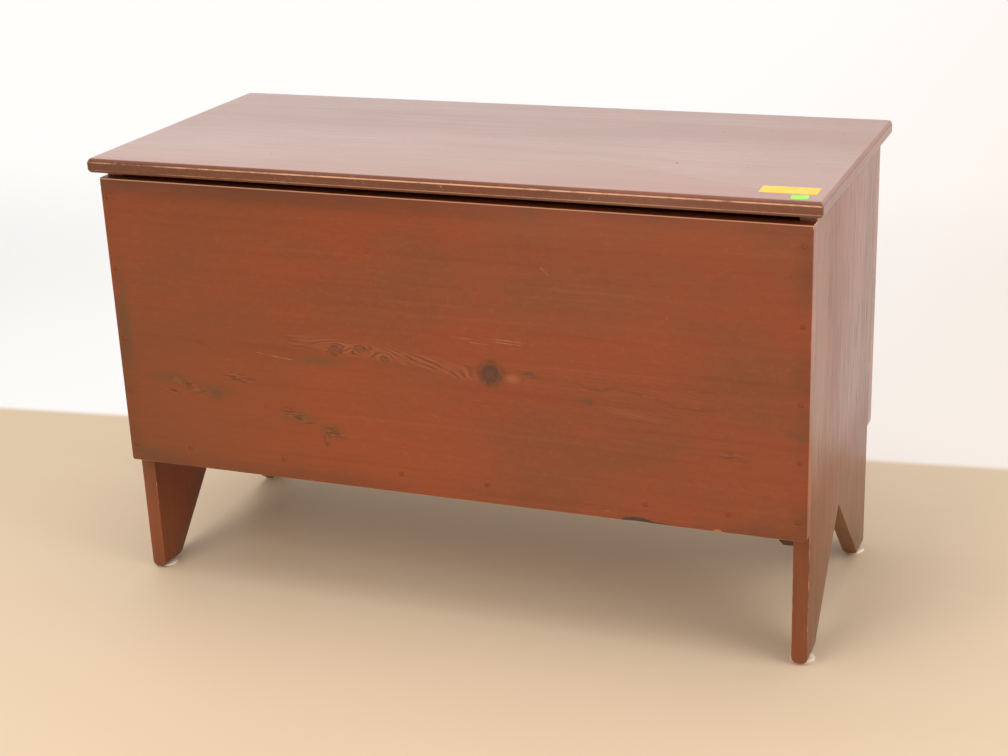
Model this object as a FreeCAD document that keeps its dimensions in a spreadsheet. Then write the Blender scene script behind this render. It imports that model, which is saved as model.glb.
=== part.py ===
import FreeCAD, Part
import os
import re
import Sketcher

# A six-board pine blanket chest: two bootjack end boards, a front and a back board nailed over their
# edges, a floor on two cleats, and a one-board lid on two butt hinges.
# Frame: origin on the ground under the middle of the lid, +X to the right, +Y to the back, +Z up.

Vec = FreeCAD.Vector
doc = FreeCAD.newDocument("BlanketChest")
sheet = doc.addObject("Spreadsheet::Sheet", "Sizes")

# ---------------------------------------------------------------- driving dimensions, in millimetres
SIZES = [
    ("chest_length", 1010, "front board, end to end"),
    ("chest_depth", 438, "face of the front board to face of the back board"),
    ("end_height", 623, "end board, foot to top edge"),
    ("end_thickness", 22, "end boards"),
    ("front_thickness", 21, "front board"),
    ("back_thickness", 27, "back board"),
    ("front_drop_left", 10, "front board's top edge below the end board's, left"),
    ("front_drop_right", 12.5, "the same, right"),
    ("front_skirt_left", 20, "front board's bottom edge below the chest floor, left"),
    ("front_skirt_right", 16, "the same, right"),
    ("front_wear", 1.5, "rounding of the front board's arrises"),
    ("back_skirt", 14, "back board's bottom edge below the chest floor"),
    ("front_foot_width", 44, "front foot at the ground"),
    ("back_foot_width", 41.5, "back foot at the ground"),
    ("arch_height", 154, "point of the V cut above the feet"),
    ("arch_setback", 186, "point of the V cut behind the end board's front edge"),
    ("foot_wear", 2, "rounding under the feet"),
    ("glide_diameter", 32, "furniture glides"),
    ("glide_thickness", 3, "furniture glides"),
    ("floor_height", 208, "underside of the chest floor above the ground"),
    ("floor_thickness", 20, "chest floor"),
    ("cleat_thickness", 19, "cleats, across the chest"),
    ("cleat_height_left", 26, "left cleat, top to bottom"),
    ("cleat_height_right", 33, "right cleat, top to bottom"),
    ("cleat_chamfer", 6, "whittled lower corner of a cleat"),
    ("overhang_front", 14.5, "lid beyond the front board"),
    ("overhang_back", 8, "lid beyond the back board"),
    ("overhang_left", 9, "lid beyond the left end board"),
    ("overhang_right", 14, "lid beyond the right end board"),
    ("lid_thickness", 20.5, "lid board"),
    ("lid_clearance", 0.2, "lid above the end boards when shut"),
    ("ovolo_radius", 5, "rounding of the lid moulding's upper edge"),
    ("ovolo_step", 0.8, "little step below that rounding"),
    ("cove_radius", 4, "rounding of the lid moulding's lower edge"),
    ("cove_step", 0.6, "little step above that rounding"),
    ("hinge_inset", 170, "end of the case to the near end of a hinge"),
    ("hinge_length", 64, "butt hinge leaf"),
    ("leaf_reach", 21, "hinge pin's axis to the leaf's far edge"),
    ("leaf_thickness", 1.6, "hinge leaf"),
    ("leaf_sink", 0.1, "hinge leaf below the face of the wood"),
    ("pin_setback", 1.5, "hinge pin's axis behind the back board's face"),
    ("barrel_diameter", 6.4, "hinge knuckles"),
    ("barrel_room", 0.3, "clearance round the knuckles"),
    ("knuckle_gap", 0.2, "clearance between neighbouring knuckles"),
    ("pin_diameter", 3.2, "hinge pin"),
    ("pin_clearance", 0.05, "radial clearance of the pin"),
    ("pin_head_diameter", 5.2, "riveted ends of the pin"),
    ("pin_head_length", 1.2, "riveted ends of the pin"),
    ("screw_length", 16, "hinge screws"),
    ("screw_point", 3.6, "tapered end of a hinge screw"),
    ("screw_shank", 3.6, "hinge screws"),
    ("screw_head", 6.8, "hinge screws"),
    ("screw_spacing", 23, "between neighbouring screws of a leaf"),
    ("screw_setback", 11, "screws in front of the hinge pin's axis"),
    ("slot_width", 0.8, "screw slot"),
    ("slot_depth", 0.7, "screw slot"),
    ("nail_length", 50, "nails through the front board"),
    ("back_nail_length", 56, "nails through the back board"),
    ("floor_nail_length", 38, "nails through the floor into the cleats"),
    ("cleat_nail_length", 36, "nails through the cleats into the end boards"),
    ("nail_width", 3.4, "cut nail's shank at the head"),
    ("nail_thickness", 2.8, "cut nail's shank at the head"),
    ("nail_tip", 1.2, "cut nail's width at the tip"),
    ("nail_head_width", 6.6, "cut nail's head"),
    ("nail_head_depth", 5.6, "cut nail's head"),
    ("nail_head_thickness", 1.8, "cut nail's head"),
    ("nail_margin", 27, "first and last nail from the end of their board"),
    ("bottom_nail_margin", 81, "first and last nail of a bottom row from the end boards"),
]
for row, (alias, value, note) in enumerate(SIZES, start=1):
    sheet.set("A%d" % row, note)
    sheet.set("B%d" % row, str(value))
    sheet.setAlias("B%d" % row, alias)
doc.recompute()
ALIASES = {alias for alias, _value, _note in SIZES}
TOUCH = 0.001  # points and planes nearer than this are the same one


def linked(expression):
    """Turn plain words such as chest_length into references to the sheet's cells."""
    return re.sub(r"[A-Za-z_]+", lambda word: "Sizes." + word.group() if word.group() in ALIASES
                  else word.group(), str(expression))


def number(expression):
    """The present value of an expression."""
    return float(sheet.evalExpression(linked(expression)))


def bind(thing, **expressions):
    """Bind properties of an object to the sheet; Base_x and the like are parts of its Placement."""
    for name, expression in expressions.items():
        thing.setExpression(name.replace("Base_", "Placement.Base."), linked(expression))


# ---------------------------------------------------------------- planes that the pieces share
LEFT = "(0 - chest_length / 2 + (overhang_left - overhang_right) / 2)"
RIGHT = "(chest_length / 2 + (overhang_left - overhang_right) / 2)"
FRONT = "(0 - chest_depth / 2 + (overhang_front - overhang_back) / 2)"
BACK = "(chest_depth / 2 + (overhang_front - overhang_back) / 2)"
FOOT = "glide_thickness"
TOP = "(glide_thickness + end_height)"
INNER_LEFT = LEFT + " + end_thickness"
INNER_RIGHT = RIGHT + " - end_thickness"
INNER_FRONT = FRONT + " + front_thickness"
INNER_BACK = BACK + " - back_thickness"
LID_LEFT = LEFT + " - overhang_left"
LID_RIGHT = RIGHT + " + overhang_right"
LID_FRONT = FRONT + " - overhang_front"
LID_BACK = BACK + " + overhang_back"
LID_UNDER = TOP + " + lid_clearance"
PIN_Y = "(" + BACK + " + pin_setback)"
PIN_Z = "(" + TOP + " + lid_clearance / 2)"
LEFT_HINGE_X = LEFT + " + hinge_inset"
RIGHT_HINGE_X = RIGHT + " - hinge_inset - hinge_length"


# ---------------------------------------------------------------- sketches and solids
def new_body(name):
    body = doc.addObject("PartDesign::Body", name)
    planes = {feature.Role: feature for feature in body.Origin.OriginFeatures}
    return body, planes


def outline(body, plane, name, path):
    """A closed sketch. path holds corners (x, y), each with the radius of the arc that leads on to
    the next corner, or 0 for a straight line; a negative radius bulges to the other side."""
    sketch = body.newObject("Sketcher::SketchObject", name)
    sketch.AttachmentSupport = (plane, [""])
    sketch.MapMode = "FlatFace"
    corners = [Vec(number(x), number(y), 0) for x, y, _radius in path]
    count = len(path)
    for i, (_x, _y, radius) in enumerate(path):
        here, there = corners[i], corners[(i + 1) % count]
        if radius:
            sketch.addGeometry(arc_between(here, there, number(radius)), False)
        else:
            sketch.addGeometry(Part.LineSegment(here, there), False)
    # An arc runs anticlockwise, so a clockwise one has its own ends the other way about.
    starts = [end_at(sketch, i, corners[i]) for i in range(count)]
    for i in range(count):
        after = (i + 1) % count
        sketch.addConstraint(Sketcher.Constraint("Coincident", i, 3 - starts[i], after, starts[after]))
    for i, (x, y, radius) in enumerate(path):
        for kind, value in (("DistanceX", x), ("DistanceY", y)):
            index = sketch.addConstraint(Sketcher.Constraint(kind, -1, 1, i, starts[i], number(value)))
            sketch.setExpression("Constraints[%d]" % index, linked(value))
        if radius:
            index = sketch.addConstraint(Sketcher.Constraint("Radius", i, abs(number(radius))))
            sketch.setExpression("Constraints[%d]" % index, linked("abs(%s)" % radius))
    return sketch


def arc_between(start, end, radius):
    """The short arc from start to end, to the left of the chord for a positive radius."""
    chord = end - start
    side = Vec(-chord.y, chord.x, 0).normalize()
    half = chord.Length / 2
    sagitta = abs(radius) - (radius * radius - half * half) ** 0.5
    middle = (start + end) / 2 + side * (sagitta if radius > 0 else -sagitta)
    return Part.Arc(start, middle, end)


def end_at(sketch, index, corner):
    """1 if the edge's own start lies on the corner, else 2."""
    return 1 if (sketch.getPoint(index, 1) - corner).Length < TOUCH else 2


def rectangle(body, plane, name, x0, x1, y0, y1):
    return outline(body, plane, name, [(x0, y0, 0), (x1, y0, 0), (x1, y1, 0), (x0, y1, 0)])


def pad(body, sketch, name, length, reverse=False):
    feature = body.newObject("PartDesign::Pad", name)
    feature.Profile = sketch
    feature.Reversed = reverse
    bind(feature, Length=length)
    doc.recompute()
    return feature


def cut_through(body, sketch, name):
    """A pocket right through the body, both ways from its sketch."""
    before = body.Shape.Volume
    feature = body.newObject("PartDesign::Pocket", name)
    feature.Profile = sketch
    feature.Type = "ThroughAll"
    feature.SideType = "Symmetric"
    doc.recompute()
    if not body.Shape.Volume < before:
        raise RuntimeError(name + " cuts nothing")


def round_edges(body, base, name, radius, wanted):
    """Fillet the edges of base whose middle is wanted."""
    names = ["Edge%d" % index for index, edge in enumerate(base.Shape.Edges, start=1)
             if wanted(edge.CenterOfMass)]
    feature = body.newObject("PartDesign::Fillet", name)
    feature.Base = (base, names)
    bind(feature, Radius=radius)
    doc.recompute()


def box(name, x, y, z, length, width, height):
    solid = doc.addObject("Part::Box", name)
    bind(solid, Length=length, Width=width, Height=height, Base_x=x, Base_y=y, Base_z=z)
    return solid


def rod(name, x, length, diameter, y=PIN_Y, z=PIN_Z):
    """A cylinder along X, on the hinge pin's axis unless told otherwise."""
    solid = doc.addObject("Part::Cylinder", name)
    solid.Placement = FreeCAD.Placement(Vec(), FreeCAD.Rotation(Vec(0, 1, 0), 90))
    bind(solid, Radius="(%s) / 2" % diameter, Height=length, Base_x=x, Base_y=y, Base_z=z)
    return solid


def fuse(name, solids):
    joined = doc.addObject("Part::MultiFuse", name)
    joined.Shapes = solids
    joined.Refine = True
    return joined


SUBPARTS = []


def keep(thing, label):
    """Count thing among the finished sub-parts."""
    thing.Label = label
    SUBPARTS.append(thing)
    return thing


def carve(label, base, tools):
    """The finished sub-part: base with every tool cut away from it."""
    waste = doc.addObject("Part::Compound", label + "_waste")
    waste.Links = tools
    cut = doc.addObject("Part::Cut", label)
    cut.Base = base
    cut.Tool = waste
    cut.Refine = True
    return keep(cut, label)


# ---------------------------------------------------------------- cut nails
def cut_nail(length):
    """A nail that points down -Z from its head, whose top is at the origin."""
    head = number("nail_head_thickness")
    width, thickness, tip = number("nail_width"), number("nail_thickness"), number("nail_tip")
    across, along = number("nail_head_width"), number("nail_head_depth")
    # Part's wedge widens along Y, from its tip at y = 0 to the head.
    shank_length = number(length) - head
    shank = Part.makeWedge(-tip / 2, 0, -thickness / 2, -thickness / 2, -width / 2,
                           tip / 2, shank_length, thickness / 2, thickness / 2, width / 2)
    shank.rotate(Vec(), Vec(1, 0, 0), 90)
    shank.translate(Vec(0, 0, -number(length)))
    cap = Part.makeBox(across, along, head, Vec(-across / 2, -along / 2, -head))
    return shank.fuse(cap).removeSplitter()


def nail_group(name, length, places, direction):
    """One nail at each place, driven along direction from its head."""
    turn = FreeCAD.Rotation(Vec(0, 0, -1), direction)
    nails = []
    for place in places:
        nail = cut_nail(length)
        nail.Placement = FreeCAD.Placement(place, turn).multiply(nail.Placement)
        nails.append(nail)
    group = doc.addObject("Part::Feature", name)
    group.Shape = Part.makeCompound(nails)
    group.Placement = FreeCAD.Placement()
    return keep(group, name)


def spread(first, last, shares):
    """Places from first to last, at the given shares of the way."""
    return [first + (last - first) * share for share in shares]


# Nails set out by eye, as shares of the way along their row.
SIDE_ROW = (0, 0.225, 0.44, 0.72, 1)
BOTTOM_ROW = (0, 0.19, 0.42, 0.58, 0.86, 1)
FLOOR_ROW = (0, 0.34, 0.66, 1)
CLEAT_ROW = (0.17, 0.5, 0.83)
margin = number("nail_margin")
floor_middle = number("floor_height + floor_thickness / 2")
end_middles = {"left": number(LEFT + " + end_thickness / 2"),
               "right": number(RIGHT + " - end_thickness / 2")}
bottom_row = spread(number(INNER_LEFT + " + bottom_nail_margin"),
                    number(INNER_RIGHT + " - bottom_nail_margin"), BOTTOM_ROW)

front_nails = {}
back_nails = {}
for side, middle in end_middles.items():
    top = number(TOP + " - front_drop_" + side)
    rows = spread(number("floor_height - front_skirt_" + side) + margin, top - margin, SIDE_ROW)
    front_nails[side] = nail_group("front_nails_" + side, "nail_length",
                                   [Vec(middle, number(FRONT), z) for z in rows], Vec(0, 1, 0))
    rows = spread(number("floor_height - back_skirt") + margin, number(TOP) - margin, SIDE_ROW)
    back_nails[side] = nail_group("back_nails_" + side, "back_nail_length",
                                  [Vec(middle, number(BACK), z) for z in rows], Vec(0, -1, 0))
front_nails["bottom"] = nail_group("front_nails_bottom", "nail_length",
                                   [Vec(x, number(FRONT), floor_middle) for x in bottom_row], Vec(0, 1, 0))
back_nails["bottom"] = nail_group("back_nails_bottom", "back_nail_length",
                                  [Vec(x, number(BACK), floor_middle) for x in bottom_row], Vec(0, -1, 0))

floor_nails = {}
cleat_nails = {}
floor_row = spread(number(INNER_FRONT) + margin, number(INNER_BACK) - margin, FLOOR_ROW)
cleat_row = spread(number(INNER_FRONT) + margin, number(INNER_BACK) - margin, CLEAT_ROW)
for side, wall, inwards in (("left", number(INNER_LEFT), 1), ("right", number(INNER_RIGHT), -1)):
    x = wall + inwards * number("cleat_thickness") / 2
    floor_nails[side] = nail_group("floor_nails_" + side, "floor_nail_length",
                                   [Vec(x, y, number("floor_height + floor_thickness")) for y in floor_row],
                                   Vec(0, 0, -1))
    x = wall + inwards * number("cleat_thickness")
    z = number("floor_height - cleat_height_" + side + " / 2")
    cleat_nails[side] = nail_group("cleat_nails_" + side, "cleat_nail_length",
                                   [Vec(x, y, z) for y in cleat_row], Vec(-inwards, 0, 0))


# ---------------------------------------------------------------- end boards
def end_board(side, x):
    """One upright board whose V cut leaves a front and a back foot."""
    body, planes = new_body("end_blank_" + side)
    sketch = outline(body, planes["YZ_Plane"], "end_outline_" + side, [
        (INNER_FRONT, FOOT, 0),
        (INNER_FRONT + " + front_foot_width", FOOT, 0),
        (INNER_FRONT + " + arch_setback", FOOT + " + arch_height", 0),
        (INNER_BACK + " - back_foot_width", FOOT, 0),
        (INNER_BACK, FOOT, 0),
        (INNER_BACK, TOP, 0),
        (INNER_FRONT, TOP, 0)])
    board = pad(body, sketch, "end_pad_" + side, "end_thickness")
    ground = number(FOOT)
    round_edges(body, board, "foot_rounding_" + side, "foot_wear",
                lambda middle: abs(middle.z - ground) < TOUCH)
    bind(body, Base_x=x)
    carve("end_board_" + side, body, [front_nails[side], back_nails[side], cleat_nails[side]])


end_board("left", LEFT)
end_board("right", INNER_RIGHT)

# ---------------------------------------------------------------- front board
body, planes = new_body("front_blank")
top_left = TOP + " - front_drop_left"
top_right = TOP + " - front_drop_right"
sketch = outline(body, planes["XZ_Plane"], "front_outline", [
    (LEFT, "floor_height - front_skirt_left", 0),
    (RIGHT, "floor_height - front_skirt_right", 0),
    (RIGHT, top_right, 0),
    (LEFT, top_left, 0)])
board = pad(body, sketch, "front_pad", "front_thickness", reverse=True)
round_edges(body, board, "front_rounding", "front_wear", lambda middle: abs(middle.y) < TOUCH)
bind(body, Base_y=FRONT)
carve("front_board", body, list(front_nails.values()))

# ---------------------------------------------------------------- chest floor and its cleats
body, planes = new_body("floor_blank")
sketch = rectangle(body, planes["XY_Plane"], "floor_outline",
                   INNER_LEFT, INNER_RIGHT, INNER_FRONT, INNER_BACK)
pad(body, sketch, "floor_pad", "floor_thickness")
bind(body, Base_z="floor_height")
carve("floor_board", body, [front_nails["bottom"], back_nails["bottom"], *floor_nails.values()])


def cleat(side, wall, inwards):
    """A rail along an end board, under the floor, with its lower inner corner whittled off."""
    height = "cleat_height_" + side
    inner = "%s %s cleat_thickness" % (wall, inwards)
    shy = "%s %s (cleat_thickness - cleat_chamfer)" % (wall, inwards)
    body, planes = new_body("cleat_blank_" + side)
    sketch = outline(body, planes["XZ_Plane"], "cleat_section_" + side, [
        (wall, "floor_height", 0),
        (wall, "floor_height - " + height, 0),
        (shy, "floor_height - " + height, 0),
        (inner, "floor_height - " + height + " + cleat_chamfer", 0),
        (inner, "floor_height", 0)])
    pad(body, sketch, "cleat_pad_" + side, "chest_depth - front_thickness - back_thickness", reverse=True)
    bind(body, Base_y=INNER_FRONT)
    carve("cleat_" + side, body, [floor_nails[side], cleat_nails[side]])


cleat("left", INNER_LEFT, "+")
cleat("right", INNER_RIGHT, "-")


# ---------------------------------------------------------------- furniture glides
def glide(name, x, y):
    disc = doc.addObject("Part::Cylinder", name)
    bind(disc, Radius="glide_diameter / 2", Height="glide_thickness", Base_x=x, Base_y=y)
    keep(disc, name)


FRONT_FOOT_Y = INNER_FRONT + " + front_foot_width / 2"
BACK_FOOT_Y = INNER_BACK + " - back_foot_width / 2"
for side, x in (("left", LEFT + " + end_thickness / 2"), ("right", RIGHT + " - end_thickness / 2")):
    glide("glide_front_" + side, x, FRONT_FOOT_Y)
    glide("glide_back_" + side, x, BACK_FOOT_Y)


# ---------------------------------------------------------------- butt hinges
KNUCKLES = 5
SCREWS = 3
SLOT_TURNS = (20, 75, 140)  # how far each screw of a leaf was driven round, in degrees


def leaf(name, x, knuckles, plate_z, lower_radius, upper_radius):
    """A hinge leaf: its plate, its knuckles, and countersunk holes with these radii below and above."""
    pitch = "(hinge_length / %d)" % KNUCKLES
    near = PIN_Y + " - barrel_diameter / 2 - barrel_room"
    solids = [box(name + "_plate", x, PIN_Y + " - leaf_reach", plate_z,
                  "hinge_length", "leaf_reach - barrel_diameter / 2 - barrel_room", "leaf_thickness")]
    for index in knuckles:
        start = "%s + %d * %s + knuckle_gap / 2" % (x, index, pitch)
        length = pitch + " - knuckle_gap"
        solids.append(box("%s_web_%d" % (name, index), start, near, plate_z, length,
                          "barrel_diameter / 2 + barrel_room", "leaf_thickness"))
        solids.append(rod("%s_knuckle_%d" % (name, index), start, length, "barrel_diameter"))
    holes = [rod(name + "_pin_hole", x, "hinge_length", "pin_diameter + 2 * pin_clearance")]
    for index in range(SCREWS):
        hole = doc.addObject("Part::Cone", "%s_countersink_%d" % (name, index))
        bind(hole, Height="leaf_thickness", Base_x=screw_x(x, index), Base_y=PIN_Y + " - screw_setback",
             Base_z=plate_z, Radius1=lower_radius, Radius2=upper_radius)
        holes.append(hole)
    carve(name, fuse(name + "_blank", solids), holes)


def screw_x(hinge_x, index):
    return "%s + hinge_length / 2 + %d * screw_spacing" % (hinge_x, index - 1)


def screws(name, hinge_x, face_z, direction):
    """The leaf's slotted countersunk screws, driven along direction from face_z."""
    head, shank = number("screw_head") / 2, number("screw_shank") / 2
    length, depth, point = number("screw_length"), number("leaf_thickness"), number("screw_point")
    width = number("slot_width")
    shapes = []
    for index in range(SCREWS):
        screw = Part.makeCone(shank, head, depth, Vec(0, 0, -depth))
        screw = screw.fuse(Part.makeCylinder(shank, length - depth - point, Vec(0, 0, point - length)))
        screw = screw.fuse(Part.makeCone(0, shank, point, Vec(0, 0, -length)))
        slot = Part.makeBox(2 * head, width, number("slot_depth"),
                            Vec(-head, -width / 2, -number("slot_depth")))
        slot.rotate(Vec(), Vec(0, 0, 1), SLOT_TURNS[index])
        screw = screw.cut(slot).removeSplitter()
        place = Vec(number(screw_x(hinge_x, index)), number(PIN_Y + " - screw_setback"), number(face_z))
        screw.Placement = FreeCAD.Placement(place, FreeCAD.Rotation(Vec(0, 0, -1), direction))
        shapes.append(screw)
    group = doc.addObject("Part::Feature", name)
    group.Shape = Part.makeCompound(shapes)
    group.Placement = FreeCAD.Placement()
    keep(group, name)


def screw_holes(name, hinge_x, start_z):
    """The holes that the screws make for themselves in the wood; start_z is the hole's lower end."""
    holes = []
    for index in range(SCREWS):
        hole = doc.addObject("Part::Cylinder", "%s_%d" % (name, index))
        bind(hole, Radius="screw_shank / 2", Height="screw_length - leaf_thickness",
             Base_x=screw_x(hinge_x, index), Base_y=PIN_Y + " - screw_setback", Base_z=start_z)
        holes.append(hole)
    return holes


CASE_LEAF_FACE = "(" + TOP + " - leaf_sink)"
LID_LEAF_FACE = "(" + LID_UNDER + " + leaf_sink)"
case_waste = []
lid_waste = []
for side, x in (("left", LEFT_HINGE_X), ("right", RIGHT_HINGE_X)):
    hinge = "hinge_" + side
    case_z = CASE_LEAF_FACE + " - leaf_thickness"
    leaf(hinge + "_case_leaf", x, range(0, KNUCKLES, 2), case_z, "screw_shank / 2", "screw_head / 2")
    leaf(hinge + "_lid_leaf", x, range(1, KNUCKLES, 2), LID_LEAF_FACE, "screw_head / 2", "screw_shank / 2")

    overrun = "(pin_head_length + knuckle_gap)"
    pin = fuse(hinge + "_pin", [
        rod(hinge + "_pin_shaft", "%s - knuckle_gap" % x, "hinge_length + 2 * knuckle_gap", "pin_diameter"),
        rod(hinge + "_pin_head_a", "%s - %s" % (x, overrun), "pin_head_length", "pin_head_diameter"),
        rod(hinge + "_pin_head_b", "%s + hinge_length + knuckle_gap" % x, "pin_head_length",
            "pin_head_diameter")])
    keep(pin, hinge + "_pin")
    screws(hinge + "_case_screws", x, CASE_LEAF_FACE, Vec(0, 0, -1))
    screws(hinge + "_lid_screws", x, LID_LEAF_FACE, Vec(0, 0, 1))

    # Room in the wood: a shallow seat for each leaf, a groove for the knuckles, and the screw holes.
    groove_x = "%s - %s - barrel_room" % (x, overrun)
    groove_length = "hinge_length + 2 * (%s + barrel_room)" % overrun
    groove = rod(hinge + "_groove", groove_x, groove_length, "barrel_diameter + 2 * barrel_room")
    seat_y = PIN_Y + " - leaf_reach"
    case_waste.append(groove)
    case_waste.append(box(hinge + "_case_seat", x, seat_y, case_z,
                          "hinge_length", "leaf_reach + pin_setback", "leaf_thickness + leaf_sink"))
    case_waste += screw_holes(hinge + "_case_hole", x, CASE_LEAF_FACE + " - screw_length")
    lid_waste.append(groove)
    lid_waste.append(box(hinge + "_lid_seat", x, seat_y, LID_UNDER,
                         "hinge_length", "leaf_reach", "leaf_thickness + leaf_sink"))
    lid_waste += screw_holes(hinge + "_lid_hole", x, LID_LEAF_FACE + " + leaf_thickness")

# ---------------------------------------------------------------- back board
body, planes = new_body("back_blank")
sketch = rectangle(body, planes["XZ_Plane"], "back_outline", LEFT, RIGHT,
                   "floor_height - back_skirt", TOP)
pad(body, sketch, "back_pad", "back_thickness")
bind(body, Base_y=BACK)
carve("back_board", body, list(back_nails.values()) + case_waste)

# ---------------------------------------------------------------- lid
body, planes = new_body("lid_blank")
sketch = rectangle(body, planes["XY_Plane"], "lid_outline", LID_LEFT, LID_RIGHT, LID_FRONT, LID_BACK)
pad(body, sketch, "lid_pad", "lid_thickness")


def moulding(plane, name, edge, inwards):
    """Work the lid's edge: an ovolo with a small step above, and a smaller rounding below.
    edge is where the lid ends across the sketch, and inwards is the sign of the way into the wood."""
    upper = "lid_thickness - ovolo_radius"
    bulge = "0 - " if inwards == "+" else ""
    sketch = outline(body, plane, name, [
        ("%s %s (ovolo_radius + ovolo_step)" % (edge, inwards), "lid_thickness", bulge + "ovolo_radius"),
        ("%s %s ovolo_step" % (edge, inwards), upper, 0),
        (edge, upper, 0),
        (edge, "lid_thickness", 0)])
    cut_through(body, sketch, name + "_cut")
    lower = outline(body, plane, name + "_lower", [
        (edge, "0", 0),
        (edge, "cove_radius", 0),
        ("%s %s cove_step" % (edge, inwards), "cove_radius", bulge + "cove_radius"),
        ("%s %s (cove_radius + cove_step)" % (edge, inwards), "0", 0)])
    cut_through(body, lower, name + "_lower_cut")


moulding(planes["YZ_Plane"], "moulding_front", LID_FRONT, "+")
moulding(planes["XZ_Plane"], "moulding_left", LID_LEFT, "+")
moulding(planes["XZ_Plane"], "moulding_right", LID_RIGHT, "-")
bind(body, Base_z=LID_UNDER)
carve("lid_board", body, lid_waste)

# ---------------------------------------------------------------- check and write
doc.recompute()
for thing in doc.Objects:
    if "Invalid" in thing.State or "Error" in thing.State:
        raise RuntimeError("%s has failed: %s" % (thing.Label, thing.State))
for thing in SUBPARTS:
    if thing.Shape.isNull() or not thing.Shape.isValid():
        raise RuntimeError(thing.Label + " has no valid shape")
os.makedirs("parts", exist_ok=True)
for thing in SUBPARTS:
    thing.Shape.exportStep("parts/%s.step" % thing.Label)
    print("%-26s solids %2d volume %10.1f" % (thing.Label, len(thing.Shape.Solids), thing.Shape.Volume))
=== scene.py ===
from contextlib import contextmanager
from functools import reduce
from math import cos, pi, radians, sin
from types import SimpleNamespace

import bmesh
import bpy
from mathutils import Matrix, Vector


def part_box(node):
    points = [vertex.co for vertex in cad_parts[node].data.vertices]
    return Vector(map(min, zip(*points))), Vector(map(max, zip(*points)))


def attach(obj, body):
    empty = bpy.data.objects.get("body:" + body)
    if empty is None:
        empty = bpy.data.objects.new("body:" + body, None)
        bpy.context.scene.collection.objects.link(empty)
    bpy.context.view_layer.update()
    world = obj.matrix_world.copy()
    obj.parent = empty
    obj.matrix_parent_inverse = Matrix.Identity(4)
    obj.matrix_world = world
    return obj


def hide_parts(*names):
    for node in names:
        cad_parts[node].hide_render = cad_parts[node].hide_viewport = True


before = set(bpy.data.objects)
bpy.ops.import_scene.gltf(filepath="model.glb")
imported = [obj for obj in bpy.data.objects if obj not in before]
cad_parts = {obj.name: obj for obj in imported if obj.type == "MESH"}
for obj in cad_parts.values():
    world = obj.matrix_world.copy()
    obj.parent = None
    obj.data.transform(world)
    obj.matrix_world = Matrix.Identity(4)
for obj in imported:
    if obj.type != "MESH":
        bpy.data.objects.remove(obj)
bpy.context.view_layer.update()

# A six-board pine blanket chest with a transparent brick-red wash under satin varnish, old and worn.
# Everything is in metres. X runs along the chest, -Y is its front and Z is up.

MM = 0.001

# ---- places taken from the frame
LID_LOW, LID_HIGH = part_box("lid_board")
LID_TOP = LID_HIGH.z - 0.25 * MM    # room for the stickers is left above it
FRONT_LOW, FRONT_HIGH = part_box("front_board")
BACK_LOW, BACK_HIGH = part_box("back_board")
LEFT_LOW, LEFT_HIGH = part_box("end_board_left")
RIGHT_LOW, RIGHT_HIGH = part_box("end_board_right")
FLOOR_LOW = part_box("floor_board")[0]

# ---- driving sizes
BOTTOM_RISE = 4 * MM            # the front board's lower edge climbs this much to the right
TOP_DROP = 2.5 * MM             # and its upper edge falls this much
ARRIS = 1.5 * MM                # rounding of the arrises that hands and feet touch
CRISP_ARRIS = 0.5 * MM          # rounding of the others
V_FRONT = -150.75 * MM          # the V cut's front foot, its point and its back foot, along Y
V_POINT = -8.75 * MM
V_BACK = 153.75 * MM
V_TOP = 157 * MM
END_ARRIS = 1 * MM
FOOT_ROUND = 8 * MM             # the lower corners of a foot, seen from the side
LOW_CORNER_ROUND = 4 * MM       # the front board's lower corners
OVOLO_RADIUS = 5 * MM           # the lid's moulding: a quarter round above, a hollow below, each with
OVOLO_STEP = 0.8 * MM           # a small step beside it, and a flat nose between them
COVE_RADIUS = 4 * MM
COVE_STEP = 0.6 * MM
NOSE_ROUND = 0.35 * MM
NOSE_LIP = 0.05 * MM
CORNER_ROUND = 3.5 * MM         # the lid's front corners, seen from above
MITRE_REACH = 7 * MM            # the moulding's mitres are this near to a corner
SEAT_DEPTH = 1.7 * MM           # of a hinge's leaf in the lid
GROOVE_RADIUS = 3.5 * MM        # round a hinge's knuckles
GROOVE_ROOM = 0.8 * MM
NAIL_HEAD = (6.6 * MM, 5.6 * MM)
NAIL_SUNK = 0.3 * MM
HEAD_THICK = 1.6 * MM
HEAD_LIP = 1.5 * MM             # from a head's rim in to the shank
HEAD_ROUND = 1.1 * MM
SHANK_LENGTH = 46 * MM
PIT_ROOM = 0.2 * MM             # round a nail's head, in its pit
PIT_BACK = 0.3 * MM
GLIDE_ROUND = 1.1 * MM
GLIDE_FOOT_ROUND = 0.4 * MM
STICKER_GAP = 0.03 * MM         # between a sticker and the lid, where its glue is
STICKER_THICK = 0.17 * MM
STICKER_ROUND = 1 * MM
CLOSE = 0.01 * MM               # points nearer than this count as one
LEVEL = 0.1 * MM                # edges this near to the lid's top or underside count as level with it


# ---- modelling helpers
def take(*pieces):
    """Select these pieces alone; the first one is the active one."""
    bpy.ops.object.select_all(action="DESELECT")
    for piece in pieces:
        piece.select_set(True)
    bpy.context.view_layer.objects.active = pieces[0]


@contextmanager
def editing(piece):
    """Edit mode on one piece alone."""
    take(piece)
    bpy.ops.object.mode_set(mode="EDIT")
    yield
    bpy.ops.object.mode_set(mode="OBJECT")


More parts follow.
